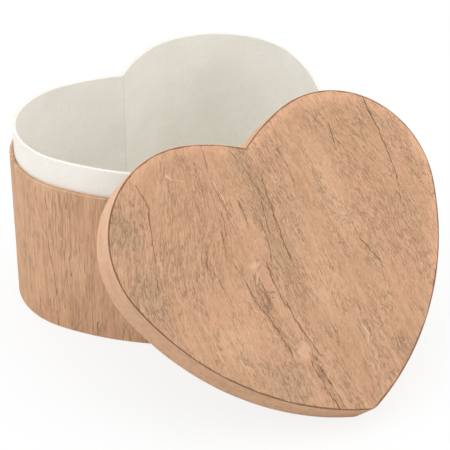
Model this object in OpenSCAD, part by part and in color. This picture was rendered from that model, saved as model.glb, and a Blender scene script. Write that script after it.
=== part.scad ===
// Heart-shaped rigid paperboard box: an open box with a white shoulder neck standing
// proud of its wall, and a shallow lift-off lid that telescopes over that neck.
// The lid is stored off the box, standing on its tip and leaning on the neck's point.
// Every layer follows one heart of tangent arcs, drawn at its own inset from the outer face.

/* [Heart outline] */
// Width of the box across both lobes, over the paper
body_w = 190; // [170:1:220]
// Radius of the round end of each lobe
lobe_r = 52; // [46:0.5:58]
// Radius of the flatter arc that runs from the lobe down into the cleft
cleft_r = 110; // [95:1:150]
// Direction at which the cleft arc takes over from the lobe, from the +X axis
cleft_turn = 105; // [98:0.5:110]
// Radius of the long flank between lobe and tip
flank_r = 147.5; // [135:0.5:170]
// Direction at which the flank takes over from the lobe, from the +X axis
flank_turn = -17.5; // [-24:0.5:-10]
// Radius of the rounded tip
tip_r = 10; // [8:0.5:16]

/* [Board and paper] */
// Thickness of the greyboard of wall, base and lid
board_t = 2; // [1.5:0.1:2.5]
// Thickness of the thinner greyboard of the neck
neck_board_t = 1.5; // [1:0.1:2]
// Thickness of the embossed wood-look covering paper
wrap_t = 0.3; // [0.2:0.05:0.4]
// Thickness of the smooth white lining paper
lining_t = 0.2; // [0.15:0.05:0.3]
// Gap left where the two ends of a bent strip of board meet at the cleft
butt_gap = 0.4; // [0.2:0.1:1]
// Width of the gummed stay tape across a butt joint
stay_w = 24; // [16:1:40]

/* [Box] */
// Height of the covered outer wall, from the surface it stands on
wall_h = 89; // [70:1:120]
// Depth of the covering paper turned in over the wall's top edge
turn_in = 12; // [8:1:20]
// Width of the covering paper turned under the bottom edge
turn_under = 12; // [8:1:18]
// How far the sheet under the bottom stops short of the outer face
base_margin = 2; // [1:0.5:6]
// How far the neck's white covering reaches down behind the wall's top edge
neck_lap = 14; // [8:1:24]

/* [Lid] */
// Height of the lid over its paper
lid_h = 19; // [14:0.5:28]
// How much larger the lid's outline is than the box's, all round
lid_ease = 0.4; // [0.25:0.05:0.8]
// Air left over the neck's edge when the lid is closed
neck_air = 0.3; // [0.1:0.1:1]
// How far the top sheet stops short of the lid's outer face
sheet_margin = 0.6; // [0.4:0.1:2]
// Width of the rim's covering paper turned over onto the lid's top
turn_over = 6; // [4:1:9]
// Gap between the edge of the lid's lining and the turned-in paper
lining_gap = 0.3; // [0.1:0.1:1]

/* [Lid at rest] */
// Pitch of the leaning lid about X
lean_pitch = 45; // [40:0.5:50]
// Roll of the leaning lid about Y
lean_roll = -4.5; // [-8:0.5:0]
// Turn of the leaning lid about Z
lean_yaw = -11; // [-16:0.5:-6]
// Sideways place of the leaning lid
lean_x = -29; // [-33:0.5:-25]
// Air between the lid's lining and the neck's edge that it leans towards
lean_gap = 0.35; // [0.3:0.05:0.8]

/* [Hidden] */
$fn = 180;

// A little more than a cut needs, so that it leaves no skin
over = 1;
// How far a sector's cutting wedge reaches, in radii
wedge_reach = 3;
// Direction of -X, level across the box from a lobe's centre
level_left = 180;
// How far lobe and tip are drawn past their larger neighbours, which makes the arcs cross
// where they would only touch
lap = 0.002;

wood_paper = "#CFA27F";
wood_rim = "#DDB08C";
white_paper = "#EBE8E1";
grey_board = "#A8A196";
kraft_tape = "#C3A079";

// Layers through the wall, as insets from its outer face
wall_board_in = wrap_t;
wall_hollow_in = wrap_t + board_t;
wall_in = 2 * wrap_t + board_t;
neck_board_in = wall_in + lining_t;
neck_hollow_in = neck_board_in + neck_board_t;
neck_in = neck_hollow_in + lining_t;

// Levels of the box
wrap_z = lining_t;
board_z = wrap_z + wrap_t;
floor_z = board_z + board_t;
neck_gap_z = wall_h - neck_lap;

// Layers through the lid's rim, as insets from the same outline
rim_out_in = -lid_ease;
rim_board_in = rim_out_in + wrap_t;
rim_hollow_in = rim_board_in + board_t;
rim_in = rim_hollow_in + wrap_t;

// Levels of the lid, from the rim's lower edge up
lid_sheet_z = lid_h - wrap_t;
lid_board_top_z = lid_sheet_z - wrap_t;
lid_board_z = lid_board_top_z - board_t;
lid_ceiling_z = lid_board_z - lining_t;

// The neck stands as proud of the wall as the closed lid has room for
neck_h = wall_h + lid_ceiling_z - neck_air;

// Centres of the outline's arcs, on the right-hand side
lobe_c = [body_w / 2 - lobe_r, 0];
cleft_c = lobe_c - (cleft_r - lobe_r) * heading(cleft_turn);
flank_c = lobe_c - (flank_r - lobe_r) * heading(flank_turn);
tip_c = [0, flank_c.y - sqrt(pow(flank_r - tip_r, 2) - pow(flank_c.x, 2))];
tip_turn = atan2(tip_c.y - flank_c.y, tip_c.x - flank_c.x);

function heading(angle) = [cos(angle), sin(angle)];

// How far the inset outline reaches along the unit vector u, from the origin
function reach_half(u, inset) =
    let (angle = atan2(u.y, u.x))
    angle < tip_turn ? tip_c * u + tip_r - inset
    : angle < flank_turn ? flank_c * u + flank_r - inset
    : lobe_c * u + lobe_r - inset;
function reach(u, inset) = reach_half([abs(u.x), u.y], inset);

// Upward axis of the leaning lid, and how its own X and Y rise
lid_up = [
    cos(lean_yaw) * sin(lean_roll) * cos(lean_pitch) + sin(lean_yaw) * sin(lean_pitch),
    sin(lean_yaw) * sin(lean_roll) * cos(lean_pitch) - cos(lean_yaw) * sin(lean_pitch),
    cos(lean_roll) * cos(lean_pitch),
];
lid_rise = [-sin(lean_roll), cos(lean_roll) * sin(lean_pitch)];

// Place of the centre of the lid's top: its tip stands on z = 0, and its lining comes
// within the lean gap of the outermost edge of the neck
lean_z = norm(lid_rise) * reach(-lid_rise / norm(lid_rise), rim_out_in) + lid_h * lid_up.z;
lid_side = [lid_up.x, lid_up.y];
neck_touch = norm(lid_side) * reach(lid_side / norm(lid_side), wall_in) + neck_h * lid_up.z;
lean_plane = neck_touch + lid_h - lid_ceiling_z + lean_gap;
lean_y = (lean_plane - lid_up.x * lean_x - lid_up.z * lean_z) / lid_up.y;

// ---- outline ----

// Part of a disc that lies between two directions from a corner inside it
module sector(centre, radius, corner, from, to) {
    far = wedge_reach * radius;
    mid = (from + to) / 2;
    intersection() {
        translate(centre) circle(r = radius);
        translate(corner)
            polygon([[0, 0], far * heading(from), far * heading(mid), far * heading(to)]);
    }
}

// Right-hand half of the heart. Lobe and tip are whole discs that meet their larger
// neighbours from inside, so that the four arcs run on into one another. At an inset
// deeper than the tip's radius the flanks meet in a point
module half_heart(inset) {
    far = wedge_reach * flank_r;
    intersection() {
        union() {
            sector(cleft_c, cleft_r - inset, lobe_c, cleft_turn, level_left);
            translate(lobe_c) circle(r = lobe_r - inset + lap);
            sector(flank_c, flank_r - inset, flank_c, tip_turn, flank_turn);
            if (inset < tip_r) translate(tip_c) circle(r = tip_r - inset + lap);
        }
        translate([0, -far]) square([far, 2 * far]);
    }
}

// Whole heart, drawn at an inset from the outer face of the box
module heart(inset) {
    half_heart(inset);
    mirror([1, 0]) half_heart(inset);
}

// Solid heart between two levels
module plate(inset, low, high) {
    translate([0, 0, low]) linear_extrude(high - low) heart(inset);
}

// Heart-shaped band between two insets and two levels
module band(outer, inner, low, high) {
    translate([0, 0, low])
        linear_extrude(high - low)
            difference() {
                heart(outer);
                heart(inner);
            }
}

// Strip of board bent round the heart, its ends butted at the cleft
module bent_strip(outer, inner, low, high) {
    difference() {
        band(outer, inner, low, high);
        translate([-butt_gap / 2, 0, low - over])
            cube([butt_gap, body_w, high - low + 2 * over]);
    }
}

// Length of gummed tape folded into the cleft over a butt joint
module stay(outer, inner, low, high) {
    intersection() {
        band(outer, inner, low, high);
        translate([-stay_w / 2, 0, low - over])
            cube([stay_w, body_w, high - low + 2 * over]);
    }
}

// ---- box ----

// Sheet that closes the underside over the turned-under paper
module base_sheet() {
    color(wood_paper) plate(base_margin, 0, wrap_z);
}

// Greyboard panel set inside the foot of the wall
module base_board() {
    color(grey_board) plate(wall_hollow_in, board_z, floor_z);
}

// Outer strip of greyboard
module wall_board() {
    color(grey_board) bent_strip(wall_board_in, wall_hollow_in, board_z, wall_h - wrap_t);
}

// Tape on the inside of the wall's butt joint, below the turned-in paper
module wall_stay() {
    color(kraft_tape) stay(wall_hollow_in, wall_hollow_in + lining_t, floor_z, wall_h - turn_in);
}

// Wood-look covering: up the wall, over its edge and down inside, and under the foot
module wall_wrap() {
    fold_z = wall_h - turn_in;
    color(wood_paper)
        difference() {
            plate(0, wrap_z, wall_h);
            plate(wall_board_in, board_z, fold_z);
            band(wall_board_in, wall_hollow_in, fold_z - over, wall_h - wrap_t);
            plate(wall_in, fold_z - over, wall_h + over);
            plate(turn_under, wrap_z - over, board_z + over);
        }
}

// Inner strip of thinner greyboard, standing on the base board
module neck_board() {
    color(grey_board) bent_strip(neck_board_in, neck_hollow_in, floor_z, neck_h - lining_t);
}

// Tape on the outside of the neck's butt joint, below its white covering
module neck_stay() {
    color(kraft_tape) stay(neck_board_in - lining_t, neck_board_in, floor_z, neck_gap_z);
}

// White covering of the neck: outside its proud band, over its edge and down to the floor
module neck_wrap() {
    color(white_paper)
        difference() {
            plate(wall_in, floor_z, neck_h);
            plate(neck_in, floor_z - over, neck_h + over);
            band(neck_board_in, neck_hollow_in, floor_z - over, neck_h - lining_t);
            band(wall_in - over, neck_hollow_in, floor_z - over, neck_gap_z);
        }
}

// White sheet on the floor of the box
module floor_lining() {
    color(white_paper) plate(neck_in + lining_gap, floor_z, floor_z + lining_t);
}

// ---- lid ----

// Stands a lid drawn flat, opening down, on its tip against the box
module leaning() {
    translate([lean_x, lean_y, lean_z])
        rotate([lean_pitch, lean_roll, lean_yaw])
            translate([0, 0, -lid_h])
                children();
}

// Greyboard panel set flush inside the rim
module lid_board() {
    color(grey_board) leaning() plate(rim_hollow_in, lid_board_z, lid_board_top_z);
}

// Strip of greyboard bent round the panel
module lid_rim_board() {
    color(grey_board) leaning() bent_strip(rim_board_in, rim_hollow_in, wrap_t, lid_board_top_z);
}

// Rim covering: over onto the top, down the rim, round its lower edge and up inside
module lid_rim_wrap() {
    color(wood_rim)
        leaning()
            difference() {
                plate(rim_out_in, 0, lid_sheet_z);
                plate(rim_in, -over, lid_board_z);
                band(rim_board_in, rim_hollow_in, wrap_t, lid_board_z + over);
                plate(rim_board_in, lid_board_z, lid_board_top_z);
                plate(turn_over, lid_board_z, lid_h);
            }
}

// White sheet on the underside of the panel
module lid_lining() {
    color(white_paper) leaning() plate(rim_in + lining_gap, lid_ceiling_z, lid_board_z);
}

// Wood-look sheet that covers the lid's top
module lid_sheet() {
    color(wood_paper) leaning() plate(rim_out_in + sheet_margin, lid_sheet_z, lid_h);
}

base_sheet();
base_board();
wall_board();
wall_stay();
wall_wrap();
neck_board();
neck_stay();
neck_wrap();
floor_lining();
lid_board();
lid_rim_board();
lid_rim_wrap();
lid_lining();
lid_sheet();
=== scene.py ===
"""Dresses a heart-shaped rigid gift box and its lift-off lid around their packed construction.

The box and the lid are board covered with paper. Each covering is a thin closed surface worked
out from one heart of tangent arcs: a section of folded paper carried round the outline at its
own inset, or a sheet cut to the outline. Lengths are in millimetres until a mesh is made.
"""
import logging
import math
from dataclasses import dataclass
from enum import Enum
from typing import Callable

import bpy
import numpy as np
from mathutils import Euler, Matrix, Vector
from numpy.typing import NDArray


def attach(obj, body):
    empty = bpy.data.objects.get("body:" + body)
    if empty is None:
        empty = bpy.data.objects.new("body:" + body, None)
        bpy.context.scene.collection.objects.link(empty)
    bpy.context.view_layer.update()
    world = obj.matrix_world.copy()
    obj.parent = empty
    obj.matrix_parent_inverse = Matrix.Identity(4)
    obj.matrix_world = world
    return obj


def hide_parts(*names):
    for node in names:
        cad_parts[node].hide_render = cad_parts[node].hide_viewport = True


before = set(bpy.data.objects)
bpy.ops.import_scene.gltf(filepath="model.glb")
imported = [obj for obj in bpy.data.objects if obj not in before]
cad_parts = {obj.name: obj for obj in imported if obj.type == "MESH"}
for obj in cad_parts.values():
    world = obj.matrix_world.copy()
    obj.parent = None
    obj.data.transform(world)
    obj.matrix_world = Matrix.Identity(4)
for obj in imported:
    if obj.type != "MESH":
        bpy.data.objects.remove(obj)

logging.basicConfig(level=logging.INFO, format="%(message)s")
LOG = logging.getLogger("gift_box")

Array = NDArray[np.float64]
Pair = tuple[float, float]
Triple = tuple[float, float, float]
Relief = Callable[[Array, Array], Array]
Socket = bpy.types.NodeSocket
Value = Socket | float | tuple

MM = 0.001
PER_METRE = 1000.0
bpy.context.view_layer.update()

# Spacing along the tip's tight arc, and places close to the cleft, in mm
TIP_STEP = 0.6
CLEFT_PLACES = (0.3, 0.8)
# Points on each fold's quarter circle, and the run beside it that keeps its shading, in mm
FOLD_POINTS = 7
FOLD_GUARD = 0.4
# A cut sheet's middle, the rounding of its edge, and the rings that keep the edge's shading, in mm
SHEET_MIDDLE = (0.0, -24.0)
SHEET_ROUNDING = 0.08
SHEET_RINGS = (0.5, 1.2, 2.2)
# Reach of its other rings, the margin in which its relief grows, and its middle's depth, in mm
SHEET_REACH = 70.0
RELIEF_MARGIN = 2.0
MIDDLE_DEPTH = 99.0
# How quickly a streak's ends taper
END_TAPER = 14.0


# ---- outline and sections ----


@dataclass(frozen=True)
class HeartOutline:
    """Heart of tangent arcs, mirrored about X = 0, with its origin between the lobes' centres.

    Each half runs from the cleft over a cleft arc, a lobe arc, a flank arc and a tip arc.
    Radii and width are those of the wall's outer face; every layer lies at an inset from it.
    """

    width: float = 190.0
    lobe_radius: float = 52.0
    cleft_radius: float = 110.0
    cleft_turn: float = math.radians(105)
    flank_radius: float = 147.5
    flank_turn: float = math.radians(-17.5)
    tip_radius: float = 10.0

    @property
    def centres(self) -> Array:
        """Centres of the four arcs of the right half.

        A neighbour's centre is lobe centre - (its radius - lobe radius) * shared direction.

        Returns:
            Centres of the cleft, lobe, flank and tip arcs in mm, of shape (4, 2).
        """
        lobe = np.array([self.width / 2 - self.lobe_radius, 0.0])
        cleft = lobe - (self.cleft_radius - self.lobe_radius) * heading(self.cleft_turn)
        flank = lobe - (self.flank_radius - self.lobe_radius) * heading(self.flank_turn)
        drop = math.sqrt((self.flank_radius - self.tip_radius) ** 2 - flank[0] ** 2)
        return np.array([cleft, lobe, flank, [0.0, flank[1] - drop]])

    @property
    def radii(self) -> Array:
        """Radii of the four arcs."""
        return np.array([self.cleft_radius, self.lobe_radius, self.flank_radius, self.tip_radius])

    def turns(self, inset: Array) -> tuple[Array, Array]:
        """Directions at which each arc starts and ends at some insets.

        A cleft arc starts where it meets X = 0. At an inset deeper than the tip's radius the
        flank does the same, and the tip arc shrinks to that point.

        Args:
            inset: Insets in mm, of shape (rows,).

        Returns:
            Start and end directions in radians, each of shape (rows, 4).
        """
        cleft, _, flank, tip = self.centres
        meet_cleft = np.pi - np.arccos(cleft[0] / (self.cleft_radius - inset))
        meet_flank = -np.arccos(-flank[0] / (self.flank_radius - inset))
        tip_turn = math.atan2(tip[1] - flank[1], tip[0] - flank[0])
        flank_end = np.where(inset < self.tip_radius, tip_turn, meet_flank)
        even = np.ones_like(inset)
        starts = [meet_cleft, self.cleft_turn * even, self.flank_turn * even, flank_end]
        ends = [self.cleft_turn * even, self.flank_turn * even, flank_end, -np.pi / 2 * even]
        return np.stack(starts, axis=1), np.stack(ends, axis=1)

    @property
    def arc_lengths(self) -> Array:
        """Length of each arc of the right half on the outer face, in mm."""
        start, end = self.turns(np.zeros(1))
        return (start - end)[0] * self.radii

    @property
    def half_length(self) -> float:
        """Length of half the outline from cleft to tip, in mm."""
        return float(self.arc_lengths.sum())

    def places(self, step: float) -> Array:
        """Places round the whole heart, from 0 at the cleft over 1 at the tip up to below 2.

        Args:
            step: Spacing in mm, which the tip's tight arc takes finer.

        Returns:
            Places in rising order, with two more close to the cleft on either side.
        """
        lengths = self.arc_lengths
        ends = np.concatenate([[0.0], np.cumsum(lengths)])
        steps = [step, step, step, TIP_STEP]
        counts = [max(2, math.ceil(length / pace)) for length, pace in zip(lengths, steps)]
        runs = [np.linspace(ends[k], ends[k + 1], counts[k], endpoint=False) for k in range(4)]
        half = np.unique(np.concatenate([*runs, CLEFT_PLACES, [ends[-1]]])) / ends[-1]
        return np.concatenate([half, 2 - half[-2:0:-1]])

    def trace(self, inset: Array, places: Array) -> Array:
        """Points of the outline: arc centre + (radius - inset) * direction.

        On each arc the direction turns evenly from the arc's start to its end.

        Args:
            inset: Insets in mm, of shape (rows,).
            places: Places round the heart, of shape (columns,).

        Returns:
            Points in mm, of shape (rows, columns, 2).
        """
        half = 1 - np.abs(1 - places)
        side = np.where(places <= 1, 1.0, -1.0)
        ends = np.concatenate([[0.0], np.cumsum(self.arc_lengths)]) / self.half_length
        arc = np.clip(np.searchsorted(ends, half, side="right") - 1, 0, 3)
        share = (half - ends[arc]) / (ends[arc + 1] - ends[arc])
        start, end = self.turns(inset)
        turn = start[:, arc] + (end - start)[:, arc] * share
        reach = np.maximum(self.radii[arc] - inset[:, None], 0)
        points = self.centres[arc] + reach[..., None] * np.stack([np.cos(turn), np.sin(turn)], -1)
        deep = (inset[:, None] >= self.tip_radius) & (arc == 3)[None, :]
        _, _, flank, _ = self.centres
        meet_y = flank[1] + (self.flank_radius - inset) * np.sin(end[:, 2])
        points[..., 1] = np.where(deep, meet_y[:, None], points[..., 1])
        points[..., 0] *= side
        return points

    def depth(self, points: Array) -> Array:
        """Distance of points inside the outer face: radius - distance from the arc's centre.

        The arc is the cleft's, lobe's or flank's, by the direction from the lobe's centre.

        Args:
            points: Points in mm, of shape (..., 2).

        Returns:
            Depths in mm, positive inside.
        """
        right = np.stack([np.abs(points[..., 0]), points[..., 1]], -1)
        gaps = self.radii - np.linalg.norm(right[..., None, :] - self.centres, axis=-1)
        cleft, lobe, flank, _ = np.moveaxis(gaps, -1, 0)
        from_lobe = right - self.centres[1]
        turn = np.arctan2(from_lobe[..., 1], from_lobe[..., 0])
        faced = [turn > self.cleft_turn, turn < self.flank_turn]
        return np.select(faced, [cleft, flank], lobe)


def heading(turn: float) -> Array:
    """Unit vector in the direction turn, in radians from +X."""
    return np.array([math.cos(turn), math.sin(turn)])


def folded_path(corners: list[Pair], fold: float, step: float) -> Array:
    """Path through right-angled corners, each rounded by a quarter circle.

    With unit vectors a back along the path and b on along it, a corner's arc is
    corner + fold * (a + b) - fold * (b * cos(t) + a * sin(t)), for t from 0 to 90 degrees.

    Args:
        corners: Corner points (inset, height) in mm, the two ends included.
        fold: Radius of the folds in mm.
        step: Widest spacing along the straight runs in mm.

    Returns:
        Points of shape (rows, 2).
    """
    points = np.array(corners, float)
    ways = np.diff(points, axis=0)
    ways /= np.linalg.norm(ways, axis=1, keepdims=True)
    t = np.linspace(0, np.pi / 2, FOLD_POINTS)[:, None]
    stops = [points[:1]]
    for corner, back, on in zip(points[1:-1], -ways[:-1], ways[1:]):
        stops.append(corner + fold * (back + on) - fold * (on * np.cos(t) + back * np.sin(t)))
    stops.append(points[-1:])
    path = [stops[0]]
    for before, after in zip(stops[:-1], stops[1:]):
        start, end = before[-1], after[0]
        length = float(np.linalg.norm(end - start))
        guard = min(FOLD_GUARD, length / 4)
        inner = np.linspace(guard, length - guard, max(2, math.ceil(length / step)))
        path += [start + (end - start) * (inner / length)[:, None], after]
    return np.concatenate(path)


def paper_section(path: Array, thickness: float) -> tuple[Array, Array]:
    """Closed section of paper along a path, with the path as its exposed face.

    Hidden face = path + thickness * the unit vector to the path's left.

    Args:
        path: Points (inset, height) of the exposed face, of shape (rows, 2).
        thickness: Thickness of the paper in mm, negative if it lies to the path's right.

    Returns:
        Section points of shape (2 * rows, 2), and 1 on the exposed face and 0 on the hidden one.
    """
    way = np.gradient(path, axis=0)
    way /= np.linalg.norm(way, axis=1, keepdims=True)
    left = np.stack([-way[:, 1], way[:, 0]], axis=1)
    hidden = path + thickness * left
    exposed = np.concatenate([np.ones(len(path)), np.zeros(len(path))])
    return np.concatenate([path, hidden[::-1]]), exposed


# ---- meshes ----


@dataclass
class Surface:
    """Closed surface in mm: its vertices, its faces, and values for each vertex.

    Faces come in groups of one size: corner numbers of shape (faces, corners), and the place of
    each corner on the print's map, of shape (faces, corners, 2).
    """

    vertices: Array
    groups: list[tuple[Array, Array]]
    values: dict[str, Array]

    def signed_volume(self) -> float:
        """Volume by fans from each face's first corner: the sum of a . (b x c) / 6.

        Returns:
            Volume in mm3, negative if the faces point inwards.
        """
        total = 0.0
        for corners, _ in self.groups:
            fan = self.vertices[corners]
            for k in range(1, corners.shape[1] - 1):
                total += np.einsum("ij,ij->", fan[:, 0], np.cross(fan[:, k], fan[:, k + 1])) / 6
        return total

    def crease_cleft(self, mesh: bpy.types.Mesh) -> None:
        """Marks the edges that run through the cleft sharp, where the two halves meet in a V.

        Args:
            mesh: Mesh made from the surface.
        """
        ends = np.zeros(len(mesh.edges) * 2, np.int32)
        mesh.edges.foreach_get("vertices", ends)
        in_cleft = self.values["cleft"][ends].reshape(-1, 2).all(axis=1)
        sharp = mesh.attributes.new("sharp_edge", "BOOLEAN", "EDGE")
        sharp.data.foreach_set("value", in_cleft)

    def to_object(
        self, name: str, body: str, slot: str, node: str, material: bpy.types.Material
    ) -> bpy.types.Object:
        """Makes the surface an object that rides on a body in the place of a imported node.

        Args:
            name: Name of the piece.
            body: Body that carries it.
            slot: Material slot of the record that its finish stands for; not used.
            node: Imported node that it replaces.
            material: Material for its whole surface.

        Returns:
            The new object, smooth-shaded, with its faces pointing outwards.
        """
        way = -1 if self.signed_volume() < 0 else 1
        faces = [face for corners, _ in self.groups for face in corners[:, ::way].tolist()]
        uv = np.concatenate([places[:, ::way].reshape(-1, 2) for _, places in self.groups])
        mesh = bpy.data.meshes.new(name)
        mesh.from_pydata((self.vertices * MM).tolist(), [], faces)
        layer = mesh.uv_layers.new(name=Follow.PRINT.value)
        layer.data.foreach_set("uv", (uv * MM).astype(np.float32).ravel())
        for key, value in self.values.items():
            attribute = mesh.attributes.new(key, "FLOAT", "POINT")
            attribute.data.foreach_set("value", value.astype(np.float32))
        mesh.polygons.foreach_set("use_smooth", np.ones(len(mesh.polygons), bool))
        mesh.validate()
        self.crease_cleft(mesh)
        mesh.materials.append(material)
        piece = bpy.data.objects.new(name, mesh)
        bpy.context.scene.collection.objects.link(piece)
        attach(piece, body)
        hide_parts(node)
        return piece


def grid_corners(rows: int, columns: int, close_rows: bool) -> Array:
    """Quads of a grid whose columns close into a ring.

    Args:
        rows: Number of rows.
        columns: Number of columns.
        close_rows: Whether the last row joins the first.

    Returns:
        Row and column of each corner, of shape (faces, 4, 2), before they wrap round.
    """
    last = rows if close_rows else rows - 1
    row, column = np.meshgrid(np.arange(last), np.arange(columns), indexing="ij")
    corner = [(0, 0), (0, 1), (1, 1), (1, 0)]
    quads = [np.stack([row + down, column + across], axis=-1) for down, across in corner]
    return np.stack(quads, axis=2).reshape(-1, 4, 2)


def carried_band(
    outline: HeartOutline, section: Array, exposed: Array, step: float, relief: Relief
) -> Surface:
    """Carries a closed section round the heart: the section's inset moves the outline in.

    Vertex = (outline point at inset + relief * exposed, height). The print's map is the length
    along the outer face by the height.

    Args:
        outline: Heart to follow.
        section: Points (inset, height) of the closed section in mm, of shape (rows, 2).
        exposed: Share of the relief that each row takes, of shape (rows,).
        step: Spacing round the heart in mm.
        relief: Depth in mm from length round the heart and height, as whole arrays.

    Returns:
        The closed band, with the values "inset" in mm and "cleft", 1 in the cleft's V.
    """
    places = outline.places(step)
    length = places * outline.half_length
    push = relief(length[None, :], section[:, 1:2]) * exposed[:, None]
    base = outline.trace(section[:, 0], places)
    moved = outline.trace(section[:, 0] + 1, places)
    flat = base + (moved - base) * push[..., None]
    height = np.broadcast_to(section[:, 1:2], push.shape)
    vertices = np.concatenate([flat, height[..., None]], axis=-1).reshape(-1, 3)
    rows, columns = push.shape
    corners = grid_corners(rows, columns, close_rows=True)
    faces = (corners[..., 0] % rows) * columns + corners[..., 1] % columns
    lengths = np.append(length, 2 * outline.half_length)
    uv = np.stack([lengths[corners[..., 1]], section[corners[..., 0] % rows, 1]], axis=-1)
    inset = np.broadcast_to(section[:, :1], push.shape).ravel()
    cleft = np.tile(places == 0, rows).astype(float)
    return Surface(vertices, [(faces, uv)], {"inset": inset, "cleft": cleft})


def cut_sheet(
    outline: HeartOutline, inset: float, low: float, high: float, step: float, relief: Relief
) -> Surface:
    """Sheet of paper cut to the heart, with its pole under the middle of the heart.

    The edge rises from low and rounds into the face. Inside it, rings shrink towards the pole:
    point = pole + share * (outline point - pole). The relief pushes the face down.

    Args:
        outline: Heart to follow.
        inset: Inset of the cut edge in mm.
        low: Height of the under side in mm.
        high: Height of the face in mm.
        step: Spacing along the outline and between rings in mm.
        relief: Depth in mm from X and Y, as whole arrays.

    Returns:
        The closed sheet, with the value "edge", the distance from the cut edge in mm.
    """
    pole = np.array(SHEET_MIDDLE)
    places = outline.places(step)
    margins = np.array([0, 0, SHEET_ROUNDING * 0.3, SHEET_ROUNDING, *SHEET_RINGS])
    heights = np.full(len(margins), high)
    heights[:3] = [low, high - SHEET_ROUNDING, high - SHEET_ROUNDING * 0.3]
    rim = outline.trace(inset + margins, places)
    shares = np.linspace(1, 0, math.ceil(SHEET_REACH / step), endpoint=False)[1:]
    face = pole + shares[:, None, None] * (rim[-1] - pole)
    flat = np.concatenate([rim, face])
    level = np.concatenate([heights, np.full(len(face), high)])
    level = np.broadcast_to(level[:, None], flat.shape[:2]).copy()
    depth = np.maximum(outline.depth(flat) - inset, 0)
    sunk = relief(flat[..., 0], flat[..., 1]) * np.clip(depth / RELIEF_MARGIN, 0, 1)
    level[3:] -= sunk[3:]
    rows, columns = level.shape
    grid = np.concatenate([flat, level[..., None]], axis=-1).reshape(-1, 3)
    vertices = np.concatenate([grid, [[*pole, high], [*pole, low]]])
    corners = grid_corners(rows, columns, close_rows=False)
    quads = corners[..., 0] * columns + corners[..., 1] % columns
    ring = np.arange(columns)
    following = (ring + 1) % columns
    top_pole, bottom_pole = rows * columns, rows * columns + 1
    inner = (rows - 1) * columns
    top = np.stack([inner + ring, inner + following, np.full(columns, top_pole)], axis=1)
    bottom = np.stack([following, ring, np.full(columns, bottom_pole)], axis=1)
    groups = [(faces, vertices[faces, :2]) for faces in (quads, top, bottom)]
    edge = np.concatenate([depth.ravel(), [MIDDLE_DEPTH, 0.0]])
    return Surface(vertices, groups, {"edge": edge, "cleft": np.zeros(len(vertices))})


def swell(depth: float, wave: float, seed: float) -> Relief:
    """Slow unevenness of glued paper: three crossed sine waves, never above the true face.

    Args:
        depth: Greatest depth in mm.
        wave: Length of the longest wave in mm.
        seed: Shift of the waves, so that two pieces differ.

    Returns:
        Function of two coordinates in mm that gives the depth in mm.
    """

    def relief(u: Array, v: Array) -> Array:
        """Depth = depth * (3 + the sum of three waves) / 6, so from 0 to the depth.

        Args:
            u: First coordinates in mm.
            v: Second coordinates in mm.

        Returns:
            Depths in mm.
        """
        k = 2 * np.pi / wave
        first = np.sin(k * u + seed) * np.cos(0.7 * k * v - seed)
        second = np.sin(1.9 * k * u - 1.3 * k * v + 2 * seed)
        third = np.cos(3.1 * k * u + 2.3 * k * v + 3 * seed)
        return depth * (3 + first + second + third) / 6

    return relief


# ---- finishes ----


def linear(code: str) -> tuple[float, float, float, float]:
    """Linear colour of an sRGB hex code, by the sRGB curve.

    Args:
        code: Colour as #RRGGBB.

    Returns:
        Linear red, green and blue, and an alpha of 1.
    """
    shares = [int(code[k : k + 2], 16) / 255 for k in (1, 3, 5)]
    bent = [s / 12.92 if s <= 0.04045 else ((s + 0.055) / 1.055) ** 2.4 for s in shares]
    return (*bent, 1.0)


class Step(Enum):
    """A step of a node tree: its kind of node, settings, the inputs it fills, and its output."""

    SUM = ("Math", {"operation": "ADD"}, (0, 1))
    DIFFERENCE = ("Math", {"operation": "SUBTRACT"}, (0, 1))
    PRODUCT = ("Math", {"operation": "MULTIPLY"}, (0, 1))
    RATIO = ("Math", {"operation": "DIVIDE"}, (0, 1))
    SCALED_SUM = ("Math", {"operation": "MULTIPLY_ADD"}, (0, 1, 2))
    LARGER = ("Math", {"operation": "MAXIMUM"}, (0, 1))
    SMALLER = ("Math", {"operation": "MINIMUM"}, (0, 1))
    SOFT_LARGER = ("Math", {"operation": "SMOOTH_MAX"}, (0, 1, 2))
    SIZE = ("Math", {"operation": "ABSOLUTE"}, (0,))
    ROOT = ("Math", {"operation": "SQRT"}, (0,))
    WAVE = ("Math", {"operation": "SINE"}, (0,))
    # From 0 at the second value to 1 at the third, smoothly, and cut off outside them
    RAMP = ("MapRange", {"interpolation_type": "SMOOTHSTEP"}, (0, 1, 2, 3, 4))
    # From the second value at 0 to the third at 1, and on in a line outside
    LINE = ("MapRange", {"clamp": False}, (0, 3, 4))
    # The second colour covered by the third where the mask is 1
    COAT = ("Mix", {"data_type": "RGBA"}, (0, 6, 7), 2)

    def __init__(self, kind: str, settings: dict, slots: tuple[int, ...], output: int = 0) -> None:
        """Names what a step is made of.

        Args:
            kind: Type of the node.
            settings: Attributes of the node.
            slots: Numbers of the inputs that the step's values go to.
            output: Number of the output that is its result.
        """
        self.kind = kind
        self.settings = settings
        self.slots = slots
        self.output = output


def add_node(
    tree: bpy.types.NodeTree, kind: str, inputs: dict | None = None, **settings: object
) -> bpy.types.Node:
    """Adds a node, sets it up and links it.

    Args:
        tree: Node tree that gets the node.
        kind: Type of the node, without Blender's prefix.
        inputs: A value, or the output to link, for each input by name or number.
        **settings: Attributes of the node, such as its operation.

    Returns:
        The new node.
    """
    node = tree.nodes.new(("" if kind.startswith("NodeGroup") else "ShaderNode") + kind)
    for name, value in settings.items():
        setattr(node, name, value)
    for key, value in (inputs or {}).items():
        if isinstance(value, Socket):
            tree.links.new(value, node.inputs[key])
        else:
            node.inputs[key].default_value = value
    return node


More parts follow.
